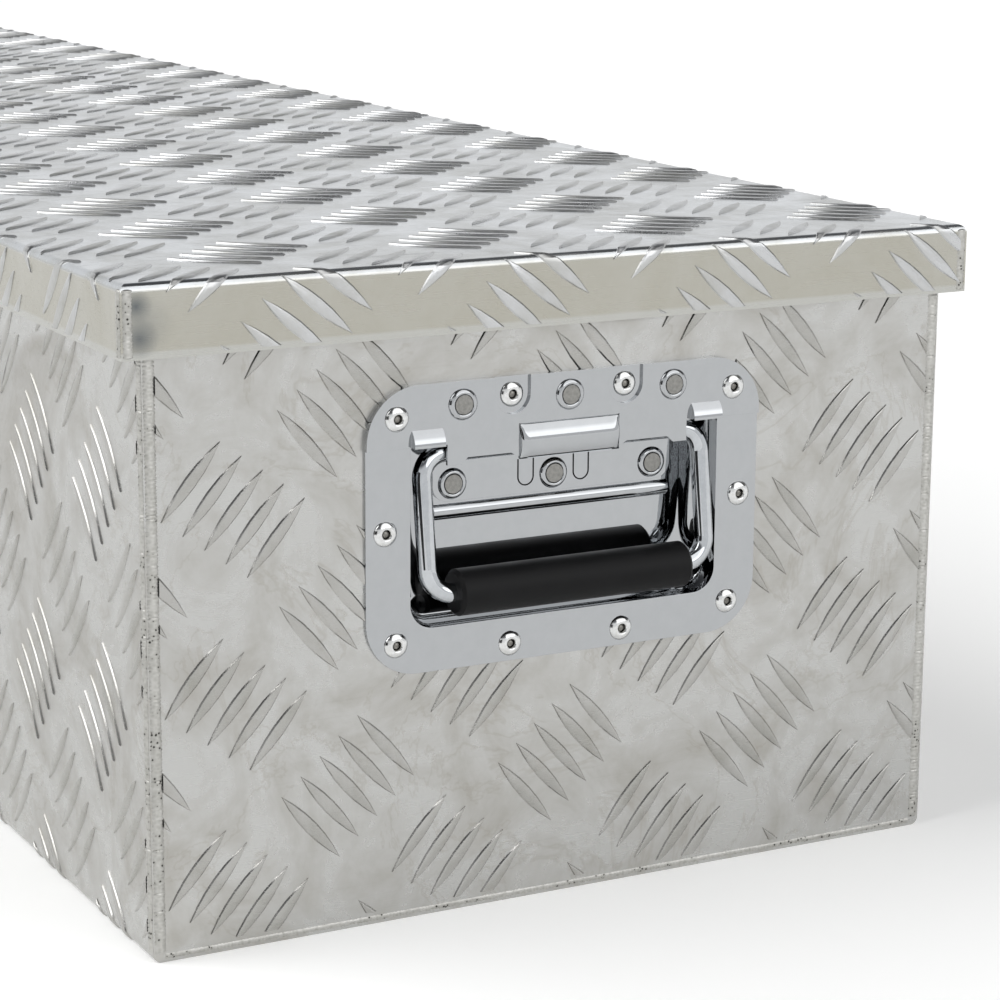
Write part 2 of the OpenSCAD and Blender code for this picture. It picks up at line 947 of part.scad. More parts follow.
module lock_core() {
    front = -17.5 - 7 + 1;
    difference() {
        peg_y(6 - fit, front - 0.5, front + 3);
        translate([-3.5, front - 1, -0.7])
            cube([7, 2.5, 1.4]);
    }
}

// hook cam: a finger concentric with the spindle, carried by an arm at its tail
module lock_cam() {
    tip = 104;              // angle of the finger's free end
    tail = 222;             // angle of its other end, over the arm
    arm = 214;
    translate([0, cam_y + cam_t, 0])
        rotate([90, 0, 0])
            linear_extrude(cam_t)
                difference() {
                    union() {
                        circle(10);
                        rotate(arm)
                            translate([0, -5])
                                square([cam_out - 1, 10]);
                        intersection() {
                            difference() {
                                circle(cam_out);
                                circle(cam_in);
                            }
                            polygon(concat([[0, 0]], [for (a = [tip, (tip + tail) / 2, tail])
                                3 * cam_out * [cos(a), sin(a)]]));
                        }
                    }
                    circle(4 + fit);
                }
}

module lock_nut() {
    difference() {
        translate([0, cam_y + cam_t + 6, 0])
            rotate([90, 0, 0])
                cylinder(r = 7.5, h = 6, $fn = 6);
        peg_y(4 + fit, cam_y, cam_y + 20);
    }
}

// plate hung from the lid with the pin that the cam hooks over
module lock_striker() {
    plate_y = cam_y - 5;
    drop = lid_under - lock_z;
    translate([-12, plate_y, striker_pin_z - 5])
        cube([24, 2, drop - striker_pin_z + 5]);
    translate([-12, plate_y, drop - 2])
        cube([24, 22, 2]);
    translate([0, 0, striker_pin_z])
        peg_y(striker_pin_r, plate_y + 1, cam_y + cam_t + 3);
}

module lock_base_right() { color("silver") at_lock(1) lock_base(); }
module lock_base_left() { color("silver") at_lock(-1) lock_base(); }
module lock_bolts_right() { color("silver") at_lock(1) lock_bolts(); }
module lock_bolts_left() { color("silver") at_lock(-1) lock_bolts(); }
module lock_handle_right() { color("silver") at_lock(1) lock_handle(); }
module lock_handle_left() { color("silver") at_lock(-1) lock_handle(); }
module lock_core_right() { color("goldenrod") at_lock(1) lock_core(); }
module lock_core_left() { color("goldenrod") at_lock(-1) lock_core(); }
module lock_cam_right() { color("gray") at_lock(1) lock_cam(); }
module lock_cam_left() { color("gray") at_lock(-1) lock_cam(); }
module lock_nut_right() { color("gray") at_lock(1) lock_nut(); }
module lock_nut_left() { color("gray") at_lock(-1) lock_nut(); }
module lock_striker_right() { color("gray") at_lock(1) lock_striker(); }
module lock_striker_left() { color("gray") at_lock(-1) lock_striker(); }

floor_panel();
front_wall();
rear_wall();
end_panel_right();
end_panel_left();
body_welds();
lid_sheet();
lid_welds();
lid_seal();
lid_braces();
hinge_body_leaf();
hinge_lid_leaf();
hinge_pin();
hinge_body_rivets();
hinge_lid_rivets();
handle_dish_right();
handle_dish_left();
handle_strap_right();
handle_strap_left();
handle_bracket_right();
handle_bracket_left();
handle_spring_right();
handle_spring_left();
handle_rivets_right();
handle_rivets_left();
strap_rivets_right();
strap_rivets_left();
bail_right();
bail_left();
grip_right();
grip_left();
strut_wall_bracket_right();
strut_wall_bracket_left();
strut_lid_bracket_right();
strut_lid_bracket_left();
strut_tube_right();
strut_tube_left();
strut_rod_right();
strut_rod_left();
lock_base_right();
lock_base_left();
lock_bolts_right();
lock_bolts_left();
lock_handle_right();
lock_handle_left();
lock_core_right();
lock_core_left();
lock_cam_right();
lock_cam_left();
lock_nut_right();
lock_nut_left();
lock_striker_right();
lock_striker_left();
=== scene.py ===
import math
import random

import bmesh
import bpy
from mathutils import Matrix, Vector


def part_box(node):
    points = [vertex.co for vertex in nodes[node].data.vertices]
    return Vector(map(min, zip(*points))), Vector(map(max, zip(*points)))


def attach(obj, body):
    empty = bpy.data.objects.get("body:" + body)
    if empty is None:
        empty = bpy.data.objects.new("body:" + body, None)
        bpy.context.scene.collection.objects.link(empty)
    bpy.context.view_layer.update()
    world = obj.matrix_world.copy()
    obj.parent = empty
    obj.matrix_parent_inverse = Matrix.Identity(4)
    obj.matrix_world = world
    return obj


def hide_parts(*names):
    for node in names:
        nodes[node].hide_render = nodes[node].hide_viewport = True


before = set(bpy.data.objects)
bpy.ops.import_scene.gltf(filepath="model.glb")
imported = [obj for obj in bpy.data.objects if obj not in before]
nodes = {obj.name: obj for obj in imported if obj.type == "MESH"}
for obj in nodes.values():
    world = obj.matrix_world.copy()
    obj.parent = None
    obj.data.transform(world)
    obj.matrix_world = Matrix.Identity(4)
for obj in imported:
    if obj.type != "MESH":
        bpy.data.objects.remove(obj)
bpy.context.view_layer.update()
print("frame loaded:", len(nodes), "CAD nodes")

mm = 0.001
flatCut = 1e-6  # how near a cutting plane a vertex counts as on it
weldGap = 0.005 * mm  # vertices closer than this are one
colourA, colourB, colourOut = 6, 7, 2  # the colour sockets of a Mix node


def toLinear(hexColour):
    # sRGB hex to the linear colour that the shaders take
    channels = [int(hexColour[i:i + 2], 16) / 255 for i in (1, 3, 5)]
    linear = [c / 12.92 if c <= 0.04045 else ((c + 0.055) / 1.055) ** 2.4 for c in channels]
    return (*linear, 1.0)


def addNode(material, kind, settings=None, links=None):
    # one shader node with its settings, colour stops as (place, hex colour), and links to its inputs
    node = material.node_tree.nodes.new("ShaderNode" + kind)
    for name, value in (settings or {}).items():
        if name == "stops":
            elements = node.color_ramp.elements
            while len(elements) < len(value):
                elements.new(0.5)
            for element, (place, colour) in zip(elements, value):
                element.position = place
                element.color = toLinear(colour)
        elif isinstance(name, str) and hasattr(node, name):
            setattr(node, name, value)
        else:
            node.inputs[name].default_value = value
    for name, socket in (links or {}).items():
        material.node_tree.links.new(socket, node.inputs[name])
    return node


def startMaterial(name, settings):
    # an empty material with its shader, and the object coordinates that its patterns read
    material = bpy.data.materials.new(name)
    material.use_nodes = True
    material.node_tree.nodes.clear()
    shader = addNode(material, "BsdfPrincipled", settings)
    addNode(material, "OutputMaterial", links={"Surface": shader.outputs[0]})
    place = addNode(material, "TexCoord").outputs["Object"]
    return material, shader, place


def perMetre(sizeMm):
    # texture scale that gives one feature every sizeMm
    return 1000 / sizeMm


rolledSheet = {
    "clean": "#BDBDBB", "stain": "#ABA9A4", "cloudMm": 46, "smudgeMm": 13,
    "roughness": (0.22, 0.38), "scratchMm": (0.8, 38), "grainMm": 0.9,
    "puddleMm": 70, "mark": "#8B8272", "markDepth": 0.2,
}
lidLow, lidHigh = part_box("lid_sheet")
# painted light bands as (height range, share from and to, tone): the flanges below the top fold darkened and
# warmed as painted shade, and a pale strip along the bottom edge as a painted highlight; and heat marks as
# (place, spread, tone, share)
flangeLightAndBurns = {
    # painted shade: the flanges darker and warmer than the lid's top
    "bands": [((lidHigh.z - 3 * mm, lidHigh.z - 1.5 * mm), (0.75, 0.0), "#A6A294"),
              # painted highlight: a pale strip along the flange's bottom edge
              ((lidLow.z + 2 * mm, lidLow.z + 3 * mm), (0.6, 0.0), "#BDBEBC")],
    "burns": [((lidHigh.x, -lidHigh.y + 5.5 * mm, lidHigh.z - 7.5 * mm), 6 * mm, "#5A6064", 1.0),
              ((lidHigh.x, -lidHigh.y + 6.5 * mm, lidHigh.z - 18 * mm), 7 * mm, "#4F565C", 0.95),
              ((lidHigh.x, -lidHigh.y + 8 * mm, lidHigh.z - 14 * mm), 11 * mm, "#8A8B88", 0.6)],
}


def paintFlangeLightAndBurns(material, place, colour, flange):
    # the lid's folded edge: painted shade darkens and warms the flanges below the top fold, a painted
    # highlight pales the strip along the bottom edge, and it is blued beside the corner welds
    height = addNode(material, "SeparateXYZ", links={"Vector": place}).outputs["Z"]
    # painted shade on the flanges and a painted highlight along their bottom edge
    for low, high, tone in flange["bands"]:
        paintedLightShare = addNode(material, "MapRange",
                       {"From Min": low[0], "From Max": low[1], "To Min": high[0], "To Max": high[1]},
                       {"Value": height}).outputs[0]
        colour = addNode(material, "Mix", {"data_type": "RGBA", colourB: toLinear(tone)},
                         {"Factor": paintedLightShare, colourA: colour}).outputs[colourOut]
    for spot, spread, tone, depth in flange["burns"]:
        gap = addNode(material, "VectorMath", {"operation": "DISTANCE", 1: spot}, {0: place}).outputs["Value"]
        burn = addNode(material, "MapRange",
                       {"From Min": 0.0, "From Max": spread, "To Min": depth, "To Max": 0.0},
                       {"Value": gap}).outputs[0]
        colour = addNode(material, "Mix", {"data_type": "RGBA", colourB: toLinear(tone)},
                         {"Factor": burn, colourA: colour}).outputs[colourOut]
    return colour


def makeRolledSheet(name, look):
    # aluminium tread plate, mill finish: cloudy stains from the rolls and the wash, fine handling scratches
    material, shader, place = startMaterial(name, {"Metallic": 1.0})
    cloud = addNode(material, "TexNoise",
                    {"Scale": perMetre(look["cloudMm"]), "Detail": 5.0, "Roughness": 0.6,
                     "Distortion": 1.4},
                    {"Vector": place}).outputs["Fac"]
    smudge = addNode(material, "TexNoise",
                     {"Scale": perMetre(look["smudgeMm"]), "Detail": 4.0, "Roughness": 0.65,
                      "Distortion": 0.6},
                     {"Vector": place}).outputs["Fac"]
    both = addNode(material, "Math", {"operation": "MULTIPLY_ADD", 1: 0.35},
                   {0: smudge, 2: cloud}).outputs[0]
    colour = addNode(material, "ValToRGB", {"stops": [(0.48, look["stain"]), (0.78, look["clean"])]},
                     {"Fac": both}).outputs[0]
    # tide marks: thin brown outlines where a puddle dried, along one level of a slow noise
    puddle = addNode(material, "TexNoise",
                     {"Scale": perMetre(look["puddleMm"]), "Detail": 6.0, "Roughness": 0.62,
                      "Distortion": 0.8},
                     {"Vector": place}).outputs["Fac"]
    level = addNode(material, "Math", {"operation": "SUBTRACT", 1: 0.52}, {0: puddle}).outputs[0]
    shore = addNode(material, "Math", {"operation": "ABSOLUTE"}, {0: level}).outputs[0]
    mark = addNode(material, "MapRange",
                   {"From Min": 0.0, "From Max": 0.012, "To Min": look["markDepth"], "To Max": 0.0},
                   {"Value": shore}).outputs[0]
    colour = addNode(material, "Mix", {"data_type": "RGBA", colourB: toLinear(look["mark"])},
                     {"Factor": mark, colourA: colour}).outputs[colourOut]
    if "flange" in look:
        colour = paintFlangeLightAndBurns(material, place, colour, look["flange"])
    scratches = None
    for turn in (0.4, 1.25, 2.2):
        narrow, length = look["scratchMm"]
        turned = addNode(material, "Mapping",
                         {"Rotation": (turn, turn * 0.7, turn * 1.3),
                          "Scale": (perMetre(narrow), perMetre(length), perMetre(narrow))},
                         {"Vector": place}).outputs[0]
        streak = addNode(material, "TexNoise", {"Scale": 1.0, "Detail": 1.0},
                         {"Vector": turned}).outputs["Fac"]
        line = addNode(material, "MapRange",
                       {"From Min": 0.66, "From Max": 0.74}, {"Value": streak}).outputs[0]
        if scratches is None:
            scratches = line
        else:
            scratches = addNode(material, "Math", {"operation": "MAXIMUM"},
                                {0: scratches, 1: line}).outputs[0]
    low, high = look["roughness"]
    gloss = addNode(material, "MapRange",
                    {"From Min": 0.4, "From Max": 0.9, "To Min": high, "To Max": low},
                    {"Value": both}).outputs[0]
    rough = addNode(material, "Math", {"operation": "MULTIPLY_ADD", 1: 0.12},
                    {0: scratches, 2: gloss}).outputs[0]
    grain = addNode(material, "TexNoise",
                    {"Scale": perMetre(look["grainMm"]), "Detail": 3.0}, {"Vector": place}).outputs["Fac"]
    height = addNode(material, "Math", {"operation": "MULTIPLY_ADD", 1: -0.6},
                     {0: scratches, 2: grain}).outputs[0]
    bump = addNode(material, "Bump", {"Strength": 0.10, "Distance": 0.2 * mm}, {"Height": height})
    tree = material.node_tree.links
    tree.new(colour, shader.inputs["Base Color"])
    tree.new(rough, shader.inputs["Roughness"])
    tree.new(bump.outputs[0], shader.inputs["Normal"])
    return material


weldLook = {"poreMm": 1.5, "sootMm": 11, "grainMm": 0.7}


def makeWeldBead(name, look):
    # aluminium filler, left as welded: frosted skin with rows of small dark pores between the ripples
    material, shader, place = startMaterial(name, {"Metallic": 1.0})
    pores = addNode(material, "TexVoronoi", {"Scale": perMetre(look["poreMm"])},
                    {"Vector": place}).outputs["Distance"]
    soot = addNode(material, "TexNoise", {"Scale": perMetre(look["sootMm"]), "Detail": 3.0},
                   {"Vector": place}).outputs["Fac"]
    gaps = addNode(material, "MapRange",
                   {"From Min": 0.42, "From Max": 0.58, "To Min": 0.25, "To Max": -0.08},
                   {"Value": soot}).outputs[0]
    deep = addNode(material, "Math", {"operation": "ADD"}, {0: pores, 1: gaps}).outputs[0]
    colour = addNode(material, "ValToRGB",
                     {"stops": [(0.14, "#3C3B38"), (0.20, "#A9A8A3"), (0.9, "#BDBCB8")]},
                     {"Fac": deep}).outputs[0]
    grain = addNode(material, "TexNoise", {"Scale": perMetre(look["grainMm"]), "Detail": 4.0},
                    {"Vector": place})
    height = addNode(material, "Math", {"operation": "MULTIPLY_ADD", 1: 1.4},
                     {0: deep, 2: grain.outputs["Fac"]}).outputs[0]
    bump = addNode(material, "Bump", {"Strength": 0.3, "Distance": 0.15 * mm}, {"Height": height})
    rough = addNode(material, "MapRange", {"To Min": 0.36, "To Max": 0.55}, {"Value": soot}).outputs[0]
    tree = material.node_tree.links
    tree.new(colour, shader.inputs["Base Color"])
    tree.new(rough, shader.inputs["Roughness"])
    tree.new(bump.outputs[0], shader.inputs["Normal"])
    return material


def makePlating(name, bright, dull, roughness, waveMm=24, waveHeight=0.02, dustMm=5):
    # electroplated steel: mirror skin over a slightly wavy pressing, with a faint haze from handling
    material, shader, place = startMaterial(name, {"Metallic": 1.0})
    haze = addNode(material, "TexNoise",
                   {"Scale": perMetre(dustMm), "Detail": 5.0, "Roughness": 0.7},
                   {"Vector": place}).outputs["Fac"]
    colour = addNode(material, "ValToRGB", {"stops": [(0.35, dull), (0.65, bright)]},
                     {"Fac": haze}).outputs[0]
    low, high = roughness
    rough = addNode(material, "MapRange",
                    {"From Min": 0.3, "From Max": 0.75, "To Min": low, "To Max": high},
                    {"Value": haze}).outputs[0]
    wave = addNode(material, "TexNoise", {"Scale": perMetre(waveMm), "Detail": 1.0}, {"Vector": place})
    bump = addNode(material, "Bump", {"Strength": 1.0, "Distance": waveHeight * mm},
                   {"Height": wave.outputs["Fac"]})
    tree = material.node_tree.links
    tree.new(colour, shader.inputs["Base Color"])
    tree.new(rough, shader.inputs["Roughness"])
    tree.new(bump.outputs[0], shader.inputs["Normal"])
    return material


def makeMoulded(name, dark, light, roughness, grainMm, depth=0.05, specular=0.5):
    # rubber, foam or paint: a dark skin with a fine grain and slightly uneven gloss
    material, shader, place = startMaterial(name, {"Metallic": 0.0, "Specular IOR Level": specular})
    grain = addNode(material, "TexNoise",
                    {"Scale": perMetre(grainMm), "Detail": 4.0, "Roughness": 0.6},
                    {"Vector": place}).outputs["Fac"]
    wear = addNode(material, "TexNoise",
                   {"Scale": perMetre(grainMm * 22), "Detail": 3.0}, {"Vector": place}).outputs["Fac"]
    colour = addNode(material, "ValToRGB", {"stops": [(0.3, dark), (0.75, light)]}, {"Fac": wear}).outputs[0]
    low, high = roughness
    rough = addNode(material, "MapRange",
                    {"From Min": 0.3, "From Max": 0.7, "To Min": low, "To Max": high},
                    {"Value": wear}).outputs[0]
    bump = addNode(material, "Bump", {"Strength": 0.5, "Distance": depth * mm}, {"Height": grain})
    tree = material.node_tree.links
    tree.new(colour, shader.inputs["Base Color"])
    tree.new(rough, shader.inputs["Roughness"])
    tree.new(bump.outputs[0], shader.inputs["Normal"])
    return material


# each finish is named for its metal or moulding and how its skin was made; then its tones, and its roughness
# where it is wiped bright and where it is dull
finishes = {
    "wall": makeRolledSheet("rolledAluminiumWall", rolledSheet),
    "lid": makeRolledSheet("rolledAluminiumLid",
                           {**rolledSheet, "clean": "#CDD0D3", "stain": "#BCBDBB", "cloudMm": 60,
                            "roughness": (0.16, 0.30), "markDepth": 0.08, "flange": flangeLightAndBurns}),
    # the wall bars: the walls' rolled sheet given a darker tone, painted shade for the bars' shadowed sides
    "bars": makeRolledSheet("rolledAluminiumBars",
                            {**rolledSheet, "clean": "#B0AFAC", "stain": "#A09F9A",
                             "roughness": (0.17, 0.28), "scratchMm": (0.6, 14), "markDepth": 0.1}),
    # the lid bars: the lid's rolled sheet given a darker tone, painted shade for the bars' shadowed sides
    "lidBars": makeRolledSheet("rolledAluminiumLidBars",
                               {**rolledSheet, "clean": "#C3C4C5", "stain": "#B3B3B0",
                                "roughness": (0.25, 0.36), "scratchMm": (0.6, 14), "markDepth": 0.08}),
    "weld": makeWeldBead("aluminiumWeldBead", weldLook),
    "chrome": makePlating("chromedPressedSteel", "#B0B2B4", "#ADAFB1", (0.015, 0.03)),
    "chromeRod": makePlating("chromedSteelRod", "#C3C6C9", "#B8BBBE", (0.03, 0.07), waveHeight=0.004),
    "popRivet": makePlating("polishedAluminiumRivet", "#E0E1E1", "#CFCFCD", (0.10, 0.22), dustMm=1.6),
    "solidRivet": makePlating("plainSteelRivet", "#979692", "#807F7C", (0.30, 0.48), dustMm=1.2),
    "spring": makePlating("oiledSpringWire", "#8F8D88", "#5E5C58", (0.22, 0.40), dustMm=1.5),
    "zinc": makePlating("zincPlatedSteel", "#C6C8CA", "#ABA99C", (0.22, 0.40), dustMm=7),
    "stainless": makePlating("brushedStainlessHinge", "#C9C8C4", "#B3B1AB", (0.22, 0.34), dustMm=3),
    "strutRod": makePlating("groundPlatedRod", "#D8DADC", "#CACCCE", (0.06, 0.12), waveHeight=0.002),
    "lockCast": makePlating("polishedDieCastLock", "#CFD0D0", "#BDBDBA", (0.10, 0.22), dustMm=4),
    "brass": makePlating("brassLockCore", "#C9A75C", "#A98843", (0.20, 0.38), dustMm=1.5),
    "grip": makeMoulded("mouldedRubberGrip", "#0C0C0D", "#131314", (0.42, 0.52), 0.5, 0.05, 0.15),
    "foam": makeMoulded("closedCellFoamSeal", "#161616", "#262625", (0.75, 0.9), 0.9, 0.3, 0.3),
    "blackPaint": makeMoulded("blackPowderCoat", "#101011", "#1B1B1C", (0.30, 0.42), 0.7, 0.03),
}

nodeFinishes = [
    ("floor_panel", "wall"), ("front_wall", "wall"), ("rear_wall", "wall"), ("end_panel", "wall"),
    ("lid_sheet", "lid"), ("lid_braces", "wall"),
    ("lid_seal", "foam"), ("body_welds", "weld"), ("lid_welds", "weld"),
    ("hinge_body_rivets", "popRivet"), ("hinge_lid_rivets", "popRivet"), ("hinge", "stainless"),
    ("handle_rivets", "popRivet"), ("strap_rivets", "solidRivet"), ("handle_spring", "spring"),
    ("handle", "chrome"), ("bail", "chromeRod"), ("grip", "grip"),
    ("strut_tube", "blackPaint"), ("strut_rod", "strutRod"), ("strut", "zinc"),
    ("lock_core", "brass"), ("lock_handle", "lockCast"), ("lock_base", "lockCast"),
    ("lock_bolts", "popRivet"), ("lock", "zinc"),
]
for name, carried in nodes.items():
    finish = next(key for start, key in nodeFinishes if name.startswith(start))
    for slot in carried.material_slots:
        slot.material = finishes[finish]
print("finishes given to every CAD node:", len(finishes), "materials")


# edges that turn by more than this many degrees stay crisp
smoothing = {"bars": 24, "pressings": 45, "turned": 60}


def makePiece(name, bm, finish, body, smooth):
    # a mesh whose place is in its vertices, riding on a body
    mesh = bpy.data.meshes.new(name)
    bm.to_mesh(mesh)
    bm.free()
    mesh.materials.append(finishes[finish])
    mesh.shade_smooth()
    mesh.set_sharp_from_angle(angle=math.radians(smoothing[smooth]))
    piece = bpy.data.objects.new(name, mesh)
    bpy.context.scene.collection.objects.link(piece)
    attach(piece, body)
    return piece


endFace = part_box("end_panel_right")[1].x
sideFace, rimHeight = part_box("end_panel_right")[1].yz
plateLow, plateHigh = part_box("handle_dish_right")

bar = {"length": 34 * mm, "width": 4.9 * mm, "sink": 0.5 * mm, "arcSegments": 66,
       "steps": [(0.975, 0.78, 0.46 * mm), (0.96, 0.72, 0.14 * mm)]}


def makeBar(look):
    # pointed lens: the piece of a wide circle above its chord, mirrored, then raised in narrowing steps
    radius = ((look["length"] / 2) ** 2 + (look["width"] / 2) ** 2) / look["width"]
    bm = bmesh.new()
    bmesh.ops.create_circle(bm, cap_ends=True, segments=look["arcSegments"], radius=radius,
                            matrix=Matrix.Translation((0, look["width"] / 2 - radius, 0)))
    bmesh.ops.bisect_plane(bm, geom=bm.verts[:] + bm.edges[:] + bm.faces[:], dist=flatCut,
                           plane_co=(0, 0, 0), plane_no=(0, 1, 0), clear_inner=True)
    bmesh.ops.mirror(bm, geom=bm.verts[:] + bm.edges[:] + bm.faces[:], axis="Y", merge_dist=10 * flatCut)
    chord = [e for e in bm.edges if len(e.link_faces) == 2]
    bmesh.ops.dissolve_edges(bm, edges=chord, use_verts=True)
    bmesh.ops.translate(bm, verts=bm.verts[:], vec=(0, 0, -look["sink"]))
    top = bm.faces[:]
    for k, (narrowX, narrowY, rise) in enumerate([(1, 1, look["sink"])] + look["steps"]):
        grown = bmesh.ops.extrude_face_region(bm, geom=top, use_keep_orig=(k == 0))["geom"]
        top = [g for g in grown if isinstance(g, bmesh.types.BMFace)]
        bmesh.ops.scale(bm, verts=top[0].verts[:], vec=(narrowX, narrowY, 1))
        bmesh.ops.translate(bm, verts=top[0].verts[:], vec=(0, 0, rise))
    bmesh.ops.recalc_face_normals(bm, faces=bm.faces[:])
    return bm


barShape = makeBar(bar)
print("tread bar made:", len(barShape.faces), "faces")


def cutBar(shape, point, direction):
    # take away what lies beyond a plane, and close the cut
    if not shape.verts or beyond([v.co for v in shape.verts], (point, direction))[1] <= 0:
        return
    geometry = shape.verts[:] + shape.edges[:] + shape.faces[:]
    bmesh.ops.bisect_plane(shape, geom=geometry, dist=flatCut, plane_co=point, plane_no=direction,
                           clear_outer=True)
    openEdges = [e for e in shape.edges if e.is_boundary]
    if openEdges:
        bmesh.ops.holes_fill(shape, edges=openEdges)


def scoreBar(shape, point, direction):
    # add a row of edges across a bar, where it is going to bend
    if not shape.verts:
        return
    geometry = shape.verts[:] + shape.edges[:] + shape.faces[:]
    bmesh.ops.bisect_plane(shape, geom=geometry, dist=flatCut, plane_co=point, plane_no=direction)


def beyond(points, cut):
    # least and greatest distance of some points past a plane
    distances = [(point - Vector(cut[0])).dot(Vector(cut[1])) for point in points]
    return min(distances), max(distances)


def foldOver(distance, edge, radius):
    # distance measured flat across the sheet -> (distance out, drop below the face, angle turned)
    run = distance - (edge - radius)
    bend = radius * math.pi / 2
    if run <= 0:
        return distance, 0.0, 0.0
    if run < bend:
        angle = run / radius
        return edge - radius + radius * math.sin(angle), radius * (1 - math.cos(angle)), angle
    return edge, radius + run - bend, math.pi / 2


def layGroups(rows, area, folds, cuts, keepOut, wrap):
    # groups of five bars over an area: each bar is cut at the edges, scored at the folds and wrapped on
    bars, columnBars = bmesh.new(), bmesh.new()
    scratch = bpy.data.meshes.new("scratch")
    lowX, lowY, highX, highY = area
    reach, margin = bar["length"] / 2, bar["width"]
    for row in rows:
        stepX, stepY = row["step"]
        firstX, firstY = row["start"]
        columns = range(math.floor((lowX - firstX) / stepX) - 1, math.ceil((highX - firstX) / stepX) + 2)
        lines = range(math.floor((lowY - firstY) / stepY) - 1, math.ceil((highY - firstY) / stepY) + 2)
        for column in columns:
            for line, k in ((line, k) for line in lines for k in range(-2, 3)):
                x = firstX + column * stepX + k * row["next"][0]
                y = firstY + line * stepY + k * row["next"][1]
                inside = lowX - reach < x < highX + reach and lowY - reach < y < highY + reach
                if not inside or keepOut(x, y):
                    continue
                turn = Matrix.Translation((x, y, 0)) @ Matrix.Rotation(row["angle"], 4, "Z")
                tips = [turn @ Vector((end * reach, 0, 0)) for end in (-1, 1)]
                cutting = [cut for cut in cuts(x, y) if beyond(tips, cut)[1] > -margin]
                scoring = [fold for fold in folds
                           if beyond(tips, fold)[0] < margin and beyond(tips, fold)[1] > -margin]
                shape = barShape.copy()
                bmesh.ops.transform(shape, matrix=turn, verts=shape.verts[:])
                for point, direction in cutting:
                    cutBar(shape, point, direction)
                for point, direction in scoring:
                    scoreBar(shape, point, direction)
                for v in shape.verts:
                    v.co = wrap(v.co)
                shape.to_mesh(scratch)
                columnBars.from_mesh(scratch)
                shape.free()
            columnBars.to_mesh(scratch)
            bars.from_mesh(scratch)
            columnBars.clear()
    columnBars.free()
    bpy.data.meshes.remove(scratch)
    return bars


# the five-bar pattern: where one group of each lean lies, how far to the next, and to its next bar
endPattern = [
    {"start": (-128 * mm, 20 * mm), "step": (85 * mm, 68.5 * mm), "next": (7.7 * mm, -5.6 * mm),
     "angle": math.radians(50)},
    {"start": (-86 * mm, 53 * mm), "step": (85 * mm, 68.5 * mm), "next": (7.3 * mm, 6.4 * mm),
     "angle": math.radians(-49)},
]
lidPattern = [
    {"start": (565 * mm, -106 * mm), "step": (67 * mm, 84 * mm), "next": (7.25 * mm, -7.5 * mm),
     "angle": math.radians(50)},
    {"start": (598 * mm, -148 * mm), "step": (67 * mm, 84 * mm), "next": (7.25 * mm, 7.5 * mm),
     "angle": math.radians(-46)},
]
frontPattern = [
    {"start": (565 * mm, 160 * mm), "step": (68 * mm, 84 * mm), "next": (-6.5 * mm, -7.5 * mm),
     "angle": math.radians(-50)},
    {"start": (530 * mm, 118 * mm), "step": (68 * mm, 84 * mm), "next": (6.5 * mm, -7.5 * mm),
     "angle": math.radians(50)},
]
lidFold = {"radius": 3 * mm, "trim": 1.2 * mm}
wallFold = {"radius": 3.2 * mm, "endTrim": 4.6 * mm, "rimTrim": 5 * mm, "lowTrim": 0.1 * mm}


def wrapLid(co):
    # flat lid blank -> lid with its four flanges folded down
    x, dropX, turnX = foldOver(abs(co.x), lidHigh.x, lidFold["radius"])
    y, dropY, turnY = foldOver(abs(co.y), lidHigh.y, lidFold["radius"])
    sideX, sideY = math.copysign(1, co.x), math.copysign(1, co.y)
    out = Vector((sideX * math.sin(turnX), sideY * math.sin(turnY), math.cos(turnX) * math.cos(turnY)))
    return Vector((sideX * x, sideY * y, lidHigh.z - dropX - dropY)) + co.z * out.normalized()


def lidCuts(x, y):
    # the blank's outline: a flange length past each fold, with its four corners notched out
    bend = lidFold["radius"] * (2 - math.pi / 2)
    edgeX = lidHigh.x + (lidHigh.z - lidLow.z) - bend - lidFold["trim"]
    edgeY = lidHigh.y + (lidHigh.z - lidLow.z) - bend - lidFold["trim"]
    sideX, sideY = math.copysign(1, x), math.copysign(1, y)
    beyondX = abs(x) - lidHigh.x
    beyondY = abs(y) - lidHigh.y
    cornerX = edgeX if beyondX > beyondY else lidHigh.x - lidFold["radius"]
    cornerY = edgeY if beyondY >= beyondX else lidHigh.y - lidFold["radius"]
    return [((sideX * cornerX, 0, 0), (sideX, 0, 0)), ((0, sideY * cornerY, 0), (0, sideY, 0))]


def foldLines(edge, radius, along):
    # where bars are scored so that they bend smoothly round a fold
    lines = []
    for side in (-1, 1):
        for share in (0, 0.34, 0.67, 1):
            place = side * (edge - radius + share * radius * math.pi / 2)
            point = (place, 0, 0) if along == "x" else (0, place, 0)
            lines.append((point, (1, 0, 0) if along == "x" else (0, 1, 0)))
    return lines


flange = lidHigh.z - lidLow.z
lidBars = layGroups(lidPattern,
          (-lidHigh.x - flange, -lidHigh.y - flange, lidHigh.x + flange, lidHigh.y + flange),
          foldLines(lidHigh.x, lidFold["radius"], "x") + foldLines(lidHigh.y, lidFold["radius"], "y"),
          lidCuts, lambda x, y: abs(x) > lidHigh.x and abs(y) > lidHigh.y, wrapLid)
makePiece("lid_tread_bars", lidBars, "lidBars", "lid", "bars")
print("lid tread bars laid")


def wrapWall(side):
    # x along the wall and height above the floor -> the wall's face, with the bottom fold
    def onWall(co):
        down = rimHeight - co.y
        run, drop, turn = foldOver(down, rimHeight, wallFold["radius"])
        out = Vector((0, side * math.cos(turn), -math.sin(turn)))
        return Vector((co.x, side * (sideFace - drop), rimHeight - run)) + co.z * out
    return onWall


def wallCuts(x, y):
    # the wall's outline, ending part way round the bottom fold so that no bar stands below the floor
    return [((endFace - wallFold["endTrim"], 0, 0), (1, 0, 0)),
            ((-endFace + wallFold["endTrim"], 0, 0), (-1, 0, 0)),
            ((0, rimHeight - wallFold["rimTrim"], 0), (0, 1, 0)),
            ((0, wallFold["lowTrim"], 0), (0, -1, 0))]


